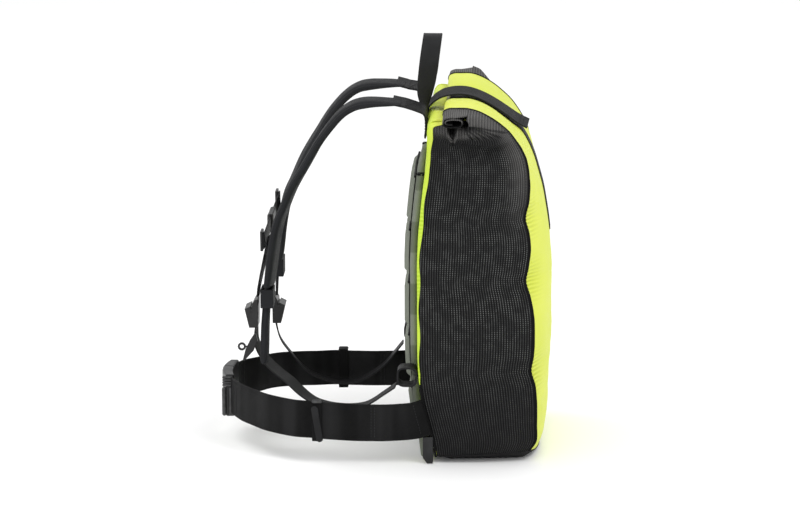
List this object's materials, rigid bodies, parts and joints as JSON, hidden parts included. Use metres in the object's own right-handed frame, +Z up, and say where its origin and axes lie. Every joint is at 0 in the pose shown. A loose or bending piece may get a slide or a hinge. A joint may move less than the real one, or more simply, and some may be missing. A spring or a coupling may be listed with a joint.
{
  "type": "roll-top messenger backpack",
  "caption": "Tall roll-top cycling backpack in neon yellow with black ribbed sides, a ridged foam back, padded straps, a hip belt and a grab handle.",
  "frame": {"origin": "middle of the base of the bag, on the surface that it stands on", "axes": "+Z up, -Y out of the bag's front, +Y towards the wearer's back and straps, +X the wearer's right"},
  "size_m": [0.4064, 0.4434, 0.5503],
  "materials": {
    "coated_yellow": "satin coated cloth, neon yellow with fine wrinkles",
    "coated_black": "coated cloth, black, fine ribs with rows of small reflective dots",
    "stripe_cloth": "black woven cloth, matte",
    "webbing": "black woven webbing, matte with a soft sheen",
    "strap_pad": "black padded cloth, matte",
    "back_foam": "grey-olive moulded foam, matte",
    "black_plastic": "black moulded plastic, satin"
  },
  "bodies": {
    "root": {"front_panel": "coated_yellow", "back_panel": "coated_yellow", "side_panel_left": "coated_black", "side_panel_right": "coated_black", "bottom_panel": "coated_black", "roll_end_left": "coated_black", "roll_end_right": "coated_black", "front_stripe": "stripe_cloth", "grab_handle": "webbing", "closure_strap": "webbing", "shoulder_tape_left": "webbing", "shoulder_tape_right": "webbing", "strap_web_left": "webbing", "strap_web_right": "webbing", "strap_tail_left": "webbing", "strap_tail_right": "webbing", "lower_strap_left": "webbing", "lower_strap_right": "webbing", "keeper_sleeve_left": "webbing", "keeper_sleeve_right": "webbing", "sternum_strap_left": "webbing", "sternum_strap_right": "webbing", "lower_anchor_left": "webbing", "lower_anchor_right": "webbing", "hip_belt_left": "webbing", "hip_belt_right": "webbing", "shoulder_pad_left": "strap_pad", "shoulder_pad_right": "strap_pad", "back_plate": "back_foam", "back_pad_1": "back_foam", "back_pad_2": "back_foam", "back_pad_3": "back_foam", "back_pad_4": "back_foam", "back_pad_5": "back_foam", "ladder_lock_left": "black_plastic", "ladder_lock_right": "black_plastic", "pull_tab": "black_plastic", "pull_loop": "black_plastic", "sternum_slider_left": "black_plastic", "sternum_slider_right": "black_plastic", "sternum_buckle": "black_plastic", "belt_keeper_left": "black_plastic", "belt_keeper_right": "black_plastic", "hip_buckle_socket": "black_plastic", "hip_buckle_plug": "black_plastic", "base_foot_left": "black_plastic", "base_foot_right": "black_plastic"}
  },
  "joints": []
}
